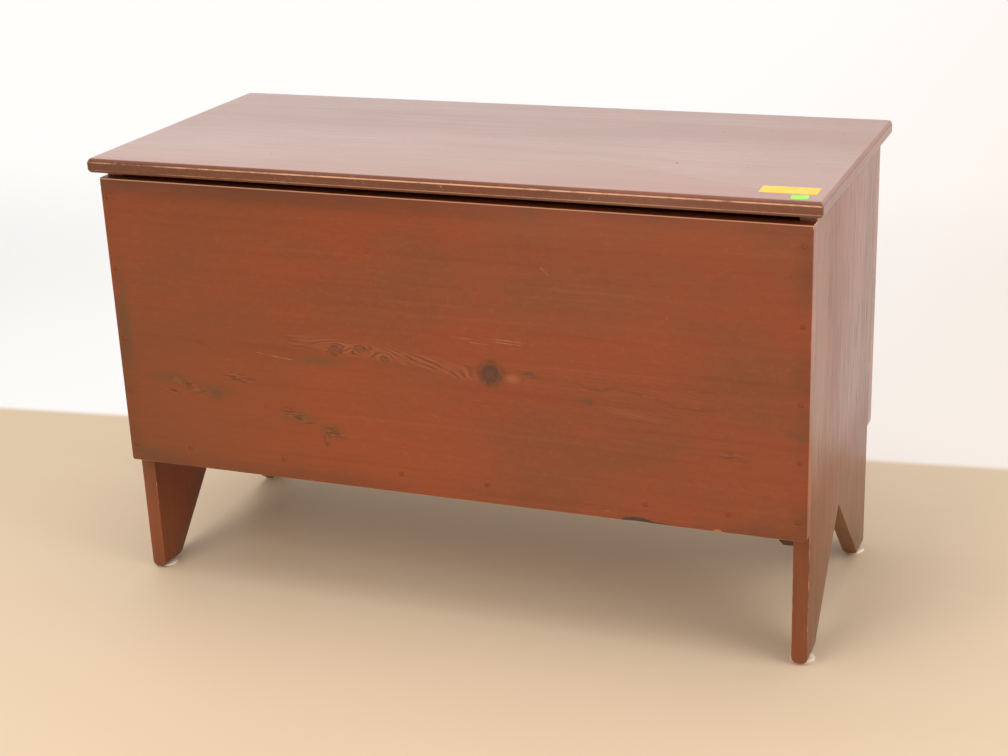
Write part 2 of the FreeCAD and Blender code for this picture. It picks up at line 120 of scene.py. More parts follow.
def pick(kind, wanted):
    """Select the vertices, edges or faces that are wanted; kind is VERT, EDGE or FACE."""
    bpy.ops.mesh.select_mode(type=kind)
    bpy.ops.mesh.select_all(action="DESELECT")
    mesh = bmesh.from_edit_mesh(bpy.context.object.data)
    for element in {"VERT": mesh.verts, "EDGE": mesh.edges, "FACE": mesh.faces}[kind]:
        element.select = bool(wanted(element))
    mesh.select_flush_mode()
    bmesh.update_edit_mesh(bpy.context.object.data)


def pick_all():
    """Select the whole mesh."""
    bpy.ops.mesh.select_all(action="SELECT")


def extrude(x, y, z):
    """Draw out what is selected, and leave its new end selected."""
    bpy.ops.mesh.extrude_region_move(TRANSFORM_OT_translate={"value": (x, y, z)})


def round_edges(radius, segments, wanted):
    """Round over the edges that are wanted."""
    pick("EDGE", wanted)
    bpy.ops.mesh.bevel(offset=radius, segments=segments, affect="EDGES")


def face_outwards():
    """Turn every face of a closed mesh outwards."""
    pick_all()
    bpy.ops.mesh.normals_make_consistent(inside=False)


def middle(edge):
    """The middle point of an edge."""
    return (edge.verts[0].co + edge.verts[1].co) / 2


def runs_along(edge, axis):
    """True for an edge that is parallel to an axis, or nearly."""
    way = edge.verts[1].co - edge.verts[0].co
    return abs(way[axis]) > 0.97 * way.length


def start_piece(name, add_primitive, place, size=(1, 1, 1), turn=(0, 0, 0), **form):
    """A primitive at its place, turn and size, all of it worked into its mesh."""
    bpy.ops.object.select_all(action="DESELECT")
    add_primitive(location=place, rotation=turn, **form)
    piece = bpy.context.object
    piece.name = piece.data.name = name
    piece.scale = size
    bpy.ops.object.transform_apply(location=True, rotation=True, scale=True)
    return piece


def add_box(name, low, high):
    """A cuboid between two corners."""
    low, high = Vector(low), Vector(high)
    return start_piece(name, bpy.ops.mesh.primitive_cube_add, (low + high) / 2, (high - low) / 2)


def cut_away(piece, cutter):
    """Cut the second piece's shape out of the first."""
    cut = piece.modifiers.new("cut", "BOOLEAN")
    cut.object = cutter
    cut.operation = "DIFFERENCE"
    cut.solver = "EXACT"
    take(piece)
    bpy.ops.object.modifier_apply(modifier=cut.name)
    bpy.data.objects.remove(cutter)


def join(name, parts):
    """Make several parts one piece."""
    take(*parts)
    bpy.ops.object.join()
    piece = bpy.context.object
    piece.name = piece.data.name = name
    return piece


def copy_piece(piece, name, move):
    """A copy of a piece, with its own mesh, moved to another place."""
    take(piece)
    bpy.ops.object.duplicate(linked=False)
    bpy.ops.transform.translate(value=move)
    bpy.ops.object.transform_apply(location=True, rotation=False, scale=False)
    copied = bpy.context.object
    copied.name = copied.data.name = name
    return copied


def smooth(piece, angle=40):
    """Round faces shade smooth, and edges sharper than the angle stay sharp."""
    take(piece)
    bpy.ops.object.shade_smooth_by_angle(angle=radians(angle))


def dress(piece, material, slot, body, *nodes):
    """Give a finished piece its material and its body, in place of CAD nodes. slot is not used."""
    piece.data.materials.clear()
    piece.data.materials.append(material)
    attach(piece, body)
    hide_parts(*nodes)
    return piece


# ---- shader maths
class Wire:
    """A socket's signal. Sums that are written with wires add Math nodes to the material."""

    def __init__(self, tree, socket=None):
        self.tree = tree
        self.socket = socket

    def node(self, kind, settings=None, sockets=None, out=0):
        """Add a node: its settings first, then values or wires into its sockets."""
        made = self.tree.nodes.new(kind)
        for setting, value in (settings or {}).items():
            setattr(made, setting, value)
        for name, value in (sockets or {}).items():
            if isinstance(value, Wire):
                self.tree.links.new(value.socket, made.inputs[name])
            else:
                made.inputs[name].default_value = value
        if isinstance(out, tuple):
            return tuple(Wire(self.tree, made.outputs[name]) for name in out)
        return Wire(self.tree, made.outputs[out]) if made.outputs else None

    def maths(self, operation, *values):
        return self.node("ShaderNodeMath", {"operation": operation}, dict(enumerate(values)))

    def __add__(self, other):
        return self.maths("ADD", self, other)

    def __sub__(self, other):
        return self.maths("SUBTRACT", self, other)

    def __rsub__(self, other):
        return self.maths("SUBTRACT", other, self)

    def __mul__(self, other):
        return self.maths("MULTIPLY", self, other)

    def __truediv__(self, other):
        return self.maths("DIVIDE", self, other)

    def __pow__(self, other):
        return self.maths("POWER", self, other)

    def __abs__(self):
        return self.maths("ABSOLUTE", self)

    __radd__ = __add__
    __rmul__ = __mul__

    def lesser(self, other):
        return self.maths("MINIMUM", self, other)

    def greater(self, other):
        return self.maths("MAXIMUM", self, other)

    def step(self, start, end):
        """0 at the start and 1 at the end, smooth between; the end may be the smaller number."""
        low, high, first, last = (start, end, 0, 1) if start < end else (end, start, 1, 0)
        return self.node("ShaderNodeMapRange", {"interpolation_type": "SMOOTHSTEP"},
                         {0: self, 1: low, 2: high, 3: first, 4: last})

    def apart(self):
        """The three parts of a place."""
        return self.node("ShaderNodeSeparateXYZ", None, {0: self}, out=("X", "Y", "Z"))

    def wave(self, length):
        """A sine from 0 to 1 that repeats over a length."""
        return 0.5 + 0.5 * self.maths("SINE", self * (2 * pi / length))

    def noise(self, stretch, detail=2, roughness=0.5):
        """Noise from 0 to 1 on a place; stretch is its repeats in a metre, along each axis."""
        place = self.node("ShaderNodeVectorMath", {"operation": "MULTIPLY"}, {0: self, 1: stretch})
        return self.node("ShaderNodeTexNoise", None,
                         {"Vector": place, "Scale": 1, "Detail": detail, "Roughness": roughness})

    def tint(self, first, second):
        """The first colour where this is 0, and the second where it is 1."""
        return self.node("ShaderNodeMix", {"data_type": "RGBA"}, {0: self, 6: first, 7: second}, out=2)


def greatest(wires):
    """At each point, the greatest of several wires."""
    return reduce(Wire.greater, wires)


def median(a, b, c):
    """At each point, the middle one of three wires."""
    return a.lesser(b).greater(a.greater(b).lesser(c))


def hypot(*sides):
    """The length of a line with these sides."""
    return reduce(Wire.__add__, [side * side for side in sides]) ** 0.5


def spot(u, v, place, reach, edge=0.4):
    """1 in an oval on a face and 0 outside; reach is its half sizes and edge the softness of its rim."""
    return hypot((u - place[0]) / reach[0], (v - place[1]) / reach[1]).step(1, 1 - edge)


def line_distance(u, v, start, end):
    """How far a point on a face is from a straight line between two others."""
    run = (end[0] - start[0], end[1] - start[1])
    part = ((u - start[0]) * run[0] + (v - start[1]) * run[1]) / (run[0] ** 2 + run[1] ** 2)
    part = part.greater(0).lesser(1)
    return hypot(u - start[0] - part * run[0], v - start[1] - part * run[1])


def nearest_line(u, v, lines):
    """How far a point on a face is from the nearest of several lines, which are given in millimetres."""
    return reduce(Wire.lesser, [line_distance(u, v, (start[0] * MM, start[1] * MM),
                                              (end[0] * MM, end[1] * MM)) for start, end in lines])


def srgb(red, green, blue):
    """A colour as a screen gives it, 0 to 255, in a shader's linear values."""
    def linear(part):
        part = part / 255
        return part / 12.92 if part <= 0.04045 else ((part + 0.055) / 1.055) ** 2.4
    return (linear(red), linear(green), linear(blue), 1)


def new_material(name):
    """A material whose tree holds only a point's place in Object coordinates, which is metres here."""
    material = bpy.data.materials.new(name)
    material.use_nodes = True
    material.node_tree.nodes.clear()
    return material, Wire(material.node_tree).node("ShaderNodeTexCoord", out="Object")


def finish_surface(height, depth, sockets):
    """The surface shader: a bump of some depth, and what goes into the shader's sockets."""
    normal = height.node("ShaderNodeBump", None, {"Height": height, "Distance": depth})
    shader = height.node("ShaderNodeBsdfPrincipled", None, {"Normal": normal, **sockets})
    height.node("ShaderNodeOutputMaterial", None, {"Surface": shader})


# ---- colours
BRICK = (0.255, 0.046, 0.009, 1)          # the wash where it is clear
RUST_BROWN = (0.180, 0.050, 0.013, 1)     # where it is thick and old
ORANGE_RED = (0.310, 0.056, 0.009, 1)     # where it is rubbed thin
DARK_GRAIN = (0.085, 0.018, 0.005, 1)
PALE_GRAIN = (0.380, 0.120, 0.045, 1)
KNOT_CORE = (0.135, 0.050, 0.020, 1)
KNOT_HEART = (0.082, 0.026, 0.015, 1)
KNOT_RIM = (0.050, 0.014, 0.006, 1)
RUBBED_PINE = srgb(222, 170, 134)         # bare wood on worn arrises
SAWN_OCHRE = (0.250, 0.092, 0.014, 1)     # the saw's faces in the V cut
UMBER = (0.138, 0.037, 0.010, 1)          # the lid's moulding, dark with handling
HAZE_AND_SHEEN = (0.740, 0.500, 0.370, 1)           # dust and fine scratches in the varnish; on the end boards, painted sheen
PAINTED_LID_SHEEN = (0.620, 0.570, 0.540, 1)      # painted sheen: the lid's front half is paler
FRESH_CHIP = srgb(214, 128, 62)
GREY_GOUGE = srgb(52, 46, 48)
BARE_PINE = srgb(176, 134, 88)            # unpainted wood inside, aged
BARE_DARK = srgb(128, 88, 54)
GRIME = (0.060, 0.024, 0.010, 1)
OLIVE_SMUDGE = (0.130, 0.056, 0.016, 1)
DARK_IRON = srgb(58, 52, 48)
IRON_RUST = srgb(104, 60, 36)
PALE_FELT = srgb(246, 234, 216)
GRUBBY_FELT = srgb(205, 182, 156)
FELT_SHADE = srgb(176, 152, 126)
ORANGE_PAPER = (srgb(250, 190, 60), srgb(244, 205, 110))     # fresh, and faded
GREEN_PAPER = (srgb(150, 220, 80), srgb(190, 235, 130))
VARNISH = {"Coat Roughness": 0.28, "Coat IOR": 1.4, "IOR": 1.4}
LID_VARNISH = {"Coat Roughness": 0.28, "Coat IOR": 1.54, "IOR": 1.45}


# ---- the wood
class Wood(SimpleNamespace):
    """A board as its material sees it: a point's place in the board's own terms, and its looks so far."""

    def paint(self, where, colour):
        """Lay a colour over the wood where a mask is 1."""
        self.colour = where.tint(self.colour, colour)


def wood_place(here, along, across, through, shift):
    """A point's place in a board's own terms: u along the grain, v across the face, w through it."""
    x, y, z = here.apart()
    axes = {"X": x, "Y": y, "Z": z}
    u, v, w = axes[along], axes[across], axes[through]
    place = here.node("ShaderNodeCombineXYZ", None, {0: u + shift, 1: v + shift, 2: w + shift})
    return Wood(place=place, u=u, v=v, w=w, x=x, y=y, z=z)


def arris_distance(wood, low, high):
    """How far a point on a board's surface is from the nearest arris of its box."""
    ways = enumerate((wood.x, wood.y, wood.z))
    return median(*[(way - low[axis]).lesser(high[axis] - way) for axis, way in ways])


def inside_case(wood):
    """1 on the faces that look into the chest, above its floor, and 0 elsewhere."""
    slack = 0.4 * MM
    reach_x = (wood.x - (LEFT_HIGH.x - slack)).lesser((RIGHT_LOW.x + slack) - wood.x)
    reach_y = (wood.y - (FRONT_HIGH.y - slack)).lesser((BACK_LOW.y + slack) - wood.y)
    reach_z = (wood.z - FLOOR_LOW.z).lesser(LEFT_HIGH.z - wood.z)
    return reach_x.lesser(reach_y).lesser(reach_z).step(-0.1 * MM, 0.1 * MM)


def lid_underside(wood):
    """1 on the lid's underside away from its moulding, and 0 elsewhere."""
    reach_x = (wood.x - LID_LOW.x).lesser(LID_HIGH.x - wood.x)
    reach = reach_x.lesser(wood.y - LID_LOW.y).step(9 * MM, 14 * MM)
    return (wood.z - LID_LOW.z).step(0.6 * MM, 0.3 * MM) * reach


def growth_rings(wood, pith, spacing):
    """The rings of a flat-sawn board, 0 to 1; pith is where their centre is, (across, through)."""
    wander = (wood.place.noise((1.6, 3, 3), 3) - 0.5) * (34 * MM)
    radius = hypot(wood.v - pith[0] + wander, wood.w - pith[1] + wander * 0.5)
    return radius.wave(spacing)


def washed_pine(name, axes, corners, pith, shift, streaks=1.0, finer=1.0, clouds=1.0,
                gloss=0.8, varnish=VARNISH, marks=None, unpainted=inside_case):
    """Pine under a thin red wash and satin varnish: growth rings, fibres, blotches, worn arrises and,
    where the board looks into the chest, bare wood. marks adds what one board alone has."""
    material, here = new_material(name)
    wood = wood_place(here, *axes, shift)
    rings = growth_rings(wood, pith, 7.5 * MM)
    fibres = wood.place.noise((14, 780, 780), 2)
    streak = wood.place.noise((2.6 * finer, 120 * finer, 120 * finer), 3)
    bands = wood.place.noise((1.1, 21, 21), 2)
    blotches = wood.place.noise((4.5, 9, 9), 5, 0.6)
    cloud = wood.place.noise((2.1, 2.6, 2.6), 2)

    wood.colour = BRICK
    wood.paint(blotches.step(0.36, 0.72) * (0.75 * clouds), RUST_BROWN)
    wood.paint(cloud.step(0.45, 0.7) * (0.7 * clouds), ORANGE_RED)
    wood.paint(rings.step(0.55, 1.0) * bands.step(0.45, 0.7) * (0.12 * streaks), DARK_GRAIN)
    wood.paint(streak.step(0.52, 0.8) * (0.30 * streaks), DARK_GRAIN)
    wood.paint(streak.step(0.46, 0.2) * (0.26 * streaks), PALE_GRAIN)
    wood.paint(fibres.step(0.5, 0.85) * (0.18 * streaks), DARK_GRAIN)
    mottle = wood.place.noise((90, 170, 170), 4, 0.7)
    wood.paint(mottle.step(0.5, 0.75) * 0.20, PALE_GRAIN)
    wood.paint(mottle.step(0.5, 0.25) * 0.25, UMBER)
    flecks = wood.place.noise((330, 330, 330), 2, 0.6).step(0.74, 0.80)
    wood.paint(flecks * 0.45, RUBBED_PINE)
    wood.height = rings * 0.25 + fibres * 0.5 + streak * 0.6 + mottle * 0.5 - flecks
    wood.roughness = 0.40 + (blotches - 0.5) * 0.16 + (streak - 0.5) * (0.14 * streaks)
    wood.gloss = 1 - (streak.step(0.45, 0.64) * 0.20 + fibres.step(0.5, 0.8) * 0.12) * streaks
    wood.gloss *= 1.05 - mottle.step(0.38, 0.62) * 0.10
    wood.low, wood.high = corners
    wood.arris = arris_distance(wood, *corners)
    wood.rub = 0.0
    wood.streak = streak
    wood.blotches = blotches
    if marks:
        marks(wood)

    chafe = wood.place.noise((60, 60, 60), 3, 0.65)
    long_chafe = wood.place.noise((9, 9, 9), 2)
    grime = wood.arris.step(34 * MM, 2 * MM) * blotches.step(0.3, 0.65)
    wood.paint(grime * 0.3, GRIME)
    worn = wood.arris.step(1.3 * MM, 0.4 * MM) * (chafe * 0.6 + long_chafe * 0.6 + wood.rub).step(0.5, 0.85)
    wood.paint(worn * 0.85, RUBBED_PINE)

    bare = unpainted(wood)
    wood.paint(bare, (streak * 0.6 + rings * 0.25).step(0.3, 0.75).tint(BARE_PINE, BARE_DARK))
    finish_surface(wood.height, 0.12 * MM,
                   {"Base Color": wood.colour, "Roughness": wood.roughness + bare * 0.25 + worn * 0.2,
                    "Coat Weight": (1 - bare) * (1 - worn * 0.7) * wood.gloss * gloss, **varnish})
    return material


def bare_pine(name, axes, pith, shift, darkness=0.0):
    """Unpainted pine that has only aged; darkness makes it darker all over."""
    material, here = new_material(name)
    wood = wood_place(here, *axes, shift)
    rings = growth_rings(wood, pith, 6 * MM)
    fibres = wood.place.noise((14, 780, 780), 2)
    streak = wood.place.noise((2.6, 110, 110), 3)
    stains = wood.place.noise((5, 7, 7), 3)
    wood.colour = BARE_PINE
    wood.paint(rings.step(0.4, 1.0), BARE_DARK)
    wood.paint(streak.step(0.45, 0.75) * 0.5, BARE_DARK)
    wood.paint(stains.step(0.5, 0.75) * 0.4 + darkness, GRIME)
    finish_surface(rings * 0.4 + fibres, 0.15 * MM,
                   {"Base Color": wood.colour, "Roughness": 0.72 + (streak - 0.5) * 0.2})
    return material


# ---- iron, felt and paper
def old_iron(name, low_shine):
    """Forged iron gone brown-black, with rust in patches."""
    material, here = new_material(name)
    rust = here.noise((180, 180, 180), 4, 0.6)
    pits = here.noise((900, 900, 900), 2)
    finish_surface(rust + pits * 0.5, 0.12 * MM,
                   {"Base Color": rust.step(0.42, 0.66).tint(DARK_IRON, IRON_RUST),
                    "Roughness": low_shine + rust.step(0.4, 0.7) * 0.3,
                    "Metallic": rust.step(0.62, 0.45) * 0.85})
    return material


def felt(name):
    """Pale pressed felt, grubby round its rim."""
    material, here = new_material(name)
    fuzz = here.noise((1400, 1400, 1400), 3, 0.7)
    dirt = here.noise((70, 70, 220), 3)
    colour = dirt.step(0.45, 0.8).tint(PALE_FELT, GRUBBY_FELT)
    colour = (fuzz.step(0.5, 0.8) * 0.3).tint(colour, FELT_SHADE)
    finish_surface(fuzz, 0.3 * MM, {"Base Color": colour, "Roughness": 0.88 + (fuzz - 0.5) * 0.1,
                                    "Sheen Weight": 0.3})
    return material


def sticker_paper(name, hue, faded):
    """Plain coloured paper, blank."""
    material, here = new_material(name)
    pulp = here.noise((700, 700, 700), 3, 0.6)
    patches = here.noise((60, 60, 60), 2)
    colour = (patches.step(0.4, 0.7) * 0.5 + (pulp - 0.5) * 0.3).tint(hue, faded)
    finish_surface(pulp, 0.03 * MM, {"Base Color": colour, "Roughness": 0.55 + (pulp - 0.5) * 0.15})
    return material


def painted_iron(name):
    """Nail heads brushed over with the wash, rust showing through."""
    material, here = new_material(name)
    rust = here.noise((420, 420, 420), 4, 0.6)
    blotches = here.noise((60, 60, 60), 2)
    colour = blotches.step(0.35, 0.7).tint(BRICK, RUST_BROWN)
    colour = (rust.step(0.45, 0.75) * 0.3 + 0.05).tint(colour, UMBER)
    finish_surface(rust, 0.25 * MM, {"Base Color": colour, "Roughness": 0.5 + (rust - 0.5) * 0.3,
                                     "Coat Weight": 0.3, **VARNISH})
    return material


# ---- the front board
GOUGE = Vector((276 * MM, FRONT_LOW.y, 191 * MM))
GOUGE_SIZE = Vector((24 * MM, 3.2 * MM, 7 * MM))
GOUGE_TAIL = Vector((300 * MM, FRONT_LOW.y, 190.5 * MM))
TAIL_SIZE = Vector((28 * MM, 2.4 * MM, 3.6 * MM))
CHIP = Vector((385 * MM, FRONT_LOW.y, 191.5 * MM))
CHIP_SIZE = Vector((7 * MM, 1.6 * MM, 4 * MM))


def make_front_board():
    """The front board: its lower edge climbs and its upper edge falls a little to the right."""
    board = add_box("washed_front_board", FRONT_LOW, FRONT_HIGH)
    with editing(board):
        pick("VERT", lambda v: v.co.x > 0 and v.co.z < FRONT_LOW.z + MM)
        bpy.ops.transform.translate(value=(0, 0, BOTTOM_RISE))
        pick("VERT", lambda v: v.co.x > 0 and v.co.z > FRONT_HIGH.z - MM)
        bpy.ops.transform.translate(value=(0, 0, -TOP_DROP))
        round_edges(LOW_CORNER_ROUND, 5,
                    lambda e: runs_along(e, 1) and middle(e).z < FRONT_LOW.z + 2 * BOTTOM_RISE)
        round_edges(ARRIS, 4, lambda e: middle(e).y < FRONT_LOW.y + MM)
        round_edges(CRISP_ARRIS, 2, lambda e: runs_along(e, 0) and middle(e).y > FRONT_HIGH.y - MM)
    cut_away(board, hollow("gouge", GOUGE, GOUGE_SIZE))
    cut_away(board, hollow("gouge_tail", GOUGE_TAIL, TAIL_SIZE))
    cut_away(board, hollow("chip", CHIP, CHIP_SIZE))
    cut_away(board, join("pits", [nail_pit(place) for place in FRONT_HEADS]))
    smooth(board)
    return board


def hollow(name, place, size):
    """A cutter that scoops out a hollow."""
    return start_piece(name, bpy.ops.mesh.primitive_ico_sphere_add, place, size, subdivisions=3)


# ---- nails
def nail_pit(place):
    """A cutter for the hollow round a nail's head."""
    room = Vector((PIT_ROOM + NAIL_HEAD[0] / 2, NAIL_SUNK + PIT_BACK, PIT_ROOM + NAIL_HEAD[1] / 2))
    return add_box("pit", place - room, place + room)


def make_nails(name, node):
    """The cut nails of one row, copies of one nail."""
    first, *others = heads_of(node)
    nail = make_nail(first)
    return join(name, [nail] + [copy_piece(nail, "nail", place - first) for place in others])


def heads_of(node):
    """The middles of one node's nail heads, worked out from the heads' corners."""
    corners = [v.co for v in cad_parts[node].data.vertices if v.co.y < FRONT_LOW.y + CLOSE]
    groups = []
    for corner in corners:
        for group in groups:
            if (group[0] - corner).length < 2 * NAIL_HEAD[0]:
                group.append(corner)
                break
        else:
            groups.append([corner])
    places = []
    for group in groups:
        low = Vector([min(corner[axis] for corner in group) for axis in range(3)])
        high = Vector([max(corner[axis] for corner in group) for axis in range(3)])
        places.append((low + high) / 2)
    return places


def make_nail(place):
    """One cut nail that points along +Y from its head."""
    across, up = NAIL_HEAD[0] / 2, NAIL_HEAD[1] / 2
    head_top = place.y + NAIL_SUNK
    under = head_top + HEAD_THICK
    nail = add_box("nail", (place.x - across, head_top, place.z - up),
                   (place.x + across, under, place.z + up))
    with editing(nail):
        pick("FACE", lambda f: f.normal.y > 0.9)
        bpy.ops.mesh.inset(thickness=HEAD_LIP)
        extrude(0, SHANK_LENGTH, 0)
        bpy.ops.transform.resize(value=(0.4, 1, 0.5), center_override=(place.x, under, place.z))
        round_edges(HEAD_ROUND, 3, lambda e: middle(e).y < head_top + CLOSE)
    smooth(nail)
    return nail


FRONT_NAIL_NODES = {side: "front_nails_" + side for side in ("left", "right", "bottom")}
FRONT_HEADS = [place for node in FRONT_NAIL_NODES.values() for place in heads_of(node)]


# ---- end boards
def make_end_board(name, node):
    """An end board: the body, two feet drawn down from it, and the V between them."""
    low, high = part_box(node)
    half_way = (low.y + high.y) / 2
    board = start_piece(name, bpy.ops.mesh.primitive_plane_add, (low.x, half_way, (V_TOP + high.z) / 2),
                        ((high.z - V_TOP) / 2, (high.y - low.y) / 2, 1), (0, pi / 2, 0))
    with editing(board):
        pick("EDGE", lambda e: middle(e).z < V_TOP + MM)
        bpy.ops.mesh.subdivide(number_cuts=1)
        pick("VERT", lambda v: v.co.z < V_TOP + MM and abs(v.co.y - half_way) < MM)
        bpy.ops.transform.translate(value=(0, V_POINT - half_way, 0))
        for side, inner in ((-1, V_FRONT), (1, V_BACK)):
            pick("EDGE", lambda e: runs_along(e, 1) and abs(middle(e).z - V_TOP) < MM
                 and (middle(e).y - V_POINT) * side > 0)
            extrude(0, 0, low.z - V_TOP)
            pick("VERT", lambda v: v.co.z < low.z + MM and abs(v.co.y - V_POINT) < MM)
            bpy.ops.transform.translate(value=(0, inner - V_POINT, 0))
        pick_all()
        extrude(high.x - low.x, 0, 0)
        pick_all()
        bpy.ops.mesh.remove_doubles(threshold=CLOSE)
        face_outwards()
        round_edges(FOOT_ROUND, 6, lambda e: middle(e).z < low.z + MM and runs_along(e, 1))
        round_edges(END_ARRIS, 3, lambda e: e.calc_face_angle(0) > radians(50))
    smooth(board)
    return board


# ---- lid
def arc_steps(turn, count):
    """Angles from 0 to a turn, in equal steps."""
    return [turn * step / count for step in range(1, count + 1)]


def moulding_steps():
    """The moulding from the underside up: (inset from the lid's edge, height above the underside)."""
    shoulder = LID_TOP - LID_LOW.z - OVOLO_RADIUS
    steps = [(COVE_STEP + COVE_RADIUS, 0)]
    for angle in arc_steps(pi / 2, 5):
        steps.append((COVE_STEP + COVE_RADIUS * (1 - sin(angle)), COVE_RADIUS * (1 - cos(angle))))
    steps += [(NOSE_ROUND, COVE_RADIUS + NOSE_LIP), (0, COVE_RADIUS + NOSE_ROUND)]
    steps += [(0, shoulder - NOSE_ROUND), (NOSE_ROUND, shoulder - NOSE_LIP)]
    for angle in [0, *arc_steps(pi / 2, 6)]:
        steps.append((OVOLO_STEP + OVOLO_RADIUS * (1 - cos(angle)), shoulder + OVOLO_RADIUS * sin(angle)))
    return steps


def at_front_corner(edge):
    """True for the mitres of the moulding at the lid's two front corners."""
    near_corner = all(abs(end.co.x) > LID_HIGH.x - MITRE_REACH and end.co.y < LID_LOW.y + MITRE_REACH
                      for end in edge.verts)
    return near_corner and not runs_along(edge, 0) and not runs_along(edge, 1)


def make_lid():
    """The lid: its underside grown upwards through the steps of its moulding."""
    width, depth = LID_HIGH.x - LID_LOW.x, LID_HIGH.y - LID_LOW.y
    back_middle = Vector((0, LID_HIGH.y, 0))
    first, *others = moulding_steps()
    lid = start_piece("washed_lid_board", bpy.ops.mesh.primitive_plane_add,
                      (0, LID_HIGH.y - (depth - first[0]) / 2, LID_LOW.z),
                      (width / 2 - first[0], (depth - first[0]) / 2, 1))
    with editing(lid):
        pick_all()
        inset, height = first
        for new_inset, new_height in others:
            extrude(0, 0, new_height - height)
            ratio = Vector(((width - 2 * new_inset) / (width - 2 * inset),
                            (depth - new_inset) / (depth - inset), 1))
            bpy.ops.transform.resize(value=ratio, center_override=back_middle)
            inset, height = new_inset, new_height
        face_outwards()
        round_edges(CORNER_ROUND, 5, at_front_corner)
        round_edges(CRISP_ARRIS, 2, lambda e: runs_along(e, 0) and middle(e).y > LID_HIGH.y - MM
                    and (middle(e).z > LID_TOP - LEVEL or middle(e).z < LID_LOW.z + LEVEL))
    for side in ("left", "right"):
        cut_away(lid, hinge_seat(side))
        cut_away(lid, knuckle_groove(side))
    smooth(lid, 24)
    return lid


def hinge_seat(side):
    """A cutter for the seat of a hinge's leaf in the lid's underside."""
    low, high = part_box("hinge_%s_lid_leaf" % side)
    return add_box("seat", low, (high.x, high.y, LID_LOW.z + SEAT_DEPTH))


def knuckle_groove(side):
    """A cutter for the groove that clears a hinge's knuckles."""
    low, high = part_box("hinge_%s_pin" % side)
    return start_piece("groove", bpy.ops.mesh.primitive_cylinder_add, (low + high) / 2, turn=(0, pi / 2, 0),
                       vertices=32, radius=GROOVE_RADIUS, depth=high.x - low.x + GROOVE_ROOM)


# ---- glides and stickers
def make_glide(name, node):
    """A felt glide: a disc with a soft rim."""
    low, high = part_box(node)
    glide = start_piece(name, bpy.ops.mesh.primitive_cylinder_add, (low + high) / 2,
                        vertices=48, radius=(high.x - low.x) / 2, depth=high.z - low.z)
    with editing(glide):
        round_edges(GLIDE_ROUND, 4, lambda e: middle(e).z > high.z - CLOSE)
        round_edges(GLIDE_FOOT_ROUND, 2, lambda e: middle(e).z < low.z + CLOSE)
    smooth(glide)
    return glide


def make_sticker(name, centre, size, turn):
    """A blank paper sticker with softened corners, flat on the lid."""
    sticker = start_piece(name, bpy.ops.mesh.primitive_plane_add,
                          (centre[0], centre[1], LID_TOP + STICKER_GAP),
                          (size[0] / 2, size[1] / 2, 1), (0, 0, turn))
    with editing(sticker):
        pick_all()
        bpy.ops.mesh.bevel(offset=STICKER_ROUND, segments=4, affect="VERTICES")
        pick_all()
        extrude(0, 0, STICKER_THICK)
        face_outwards()
    smooth(sticker)
    return sticker


# ---- marks that one board alone has
# The front board's knots: (along, up, radius) in millimetres, how far they are drawn out along the
# grain, how far they push the grain aside in millimetres, how dark their middle is and their rim.
FRONT_KNOTS = [
    ((74, 381, 17), 1.05, 17, 0.7, 0.6),
    ((-156, 393, 7), 1.3, 11, 0.7, 0.6),
    ((-119, 398, 4.2), 1.7, 8, 0.65, 0.7),
    ((-109, 397, 2.4), 1.6, 4, 0.45, 0.6),
    ((-81, 386, 3.2), 1.7, 6, 0.5, 0.6),
    ((130, 385, 4), 1.6, 4, 0.45, 0.6),
    ((211, 355, 4.5), 1.0, 5, 1.1, 0.3),
    ((363, 385, 2.6), 1.6, 3, 0.35, 0.3),
    ((403, 304, 4), 1.3, 3, 0.35, 0.0),
    ((-351, 305, 7), 1.4, 6, 0.7, 0.2),
    ((-179, 258, 9), 0.5, 9, 0.0, 0.8),
    ((7, 560, 1.8), 1.0, 2, 0.4, 0.3),
    ((133, 564, 2), 1.0, 2, 0.45, 0.3),
]
PALE_SCRATCHES = [((17, 428), (72, 427)), ((46, 423), (70, 422)), ((58, 431), (126, 429)),
                  ((74, 427), (118, 425)),
                  ((150, 534), (160, 524)), ((318, 483), (319, 479)),
                  ((-12, 313), (-6, 309)), ((-281, 378), (-226, 372)), ((-336, 362), (-325, 363)),
                  ((-213, 192), (-203, 190)),
                  ((230, 202), (236, 202))]
DARK_STROKES = [((94, 386), (100, 384)), ((124, 388), (140, 383)), ((138, 382), (191, 381)),
                ((191, 381), (208, 374)), ((208, 374), (229, 372)), ((229, 372), (246, 379)),
                ((246, 379), (283, 372)), ((304, 369), (328, 361)), ((328, 361), (352, 359)),
                ((352, 359), (393, 363)), ((-230, 404), (-214, 400)), ((-214, 400), (-180, 394)),
                ((-374, 386), (-356, 379)), ((-273, 300), (-272, 295)), ((379, 306), (400, 304)),
                ((404, 298), (425, 294)), ((-172, 274), (-160, 266))]
# Smudges: middle and reach. Patches of short dark dashes round the knots: middle, reach, and how
# steeply they fall to the right.
SMUDGES = [((-356, 313), (52, 16)), ((-170, 271), (32, 19)), ((-222, 286), (48, 15)), ((488, 337), (26, 8)),
           ((-425, 326), (52, 13)), ((-492, 410), (14, 120)), ((-180, 375), (60, 12)),
           ((-484, 205), (38, 16)), ((206, 357), (20, 10)), ((125, 384), (18, 7))]
DASHES = [((-396, 316), (54, 11), 0.33), ((-311, 336), (42, 11), 0.17), ((-226, 288), (40, 12), 0.37),
          ((-166, 268), (24, 13), 0.3), ((403, 301), (28, 9), 0.1), ((-426, 305), (18, 7), 0),
          ((125, 384), (20, 7), 0.1)]
FIGURE_TOP = 400 * MM           # the band of swirling grain: its height at FIGURE_START
FIGURE_START = -200 * MM
FIGURE_SLOPE = 0.05
BIG_KNOT = (73 * MM, 381 * MM)
PALE_PATCH = (104 * MM, 377 * MM)
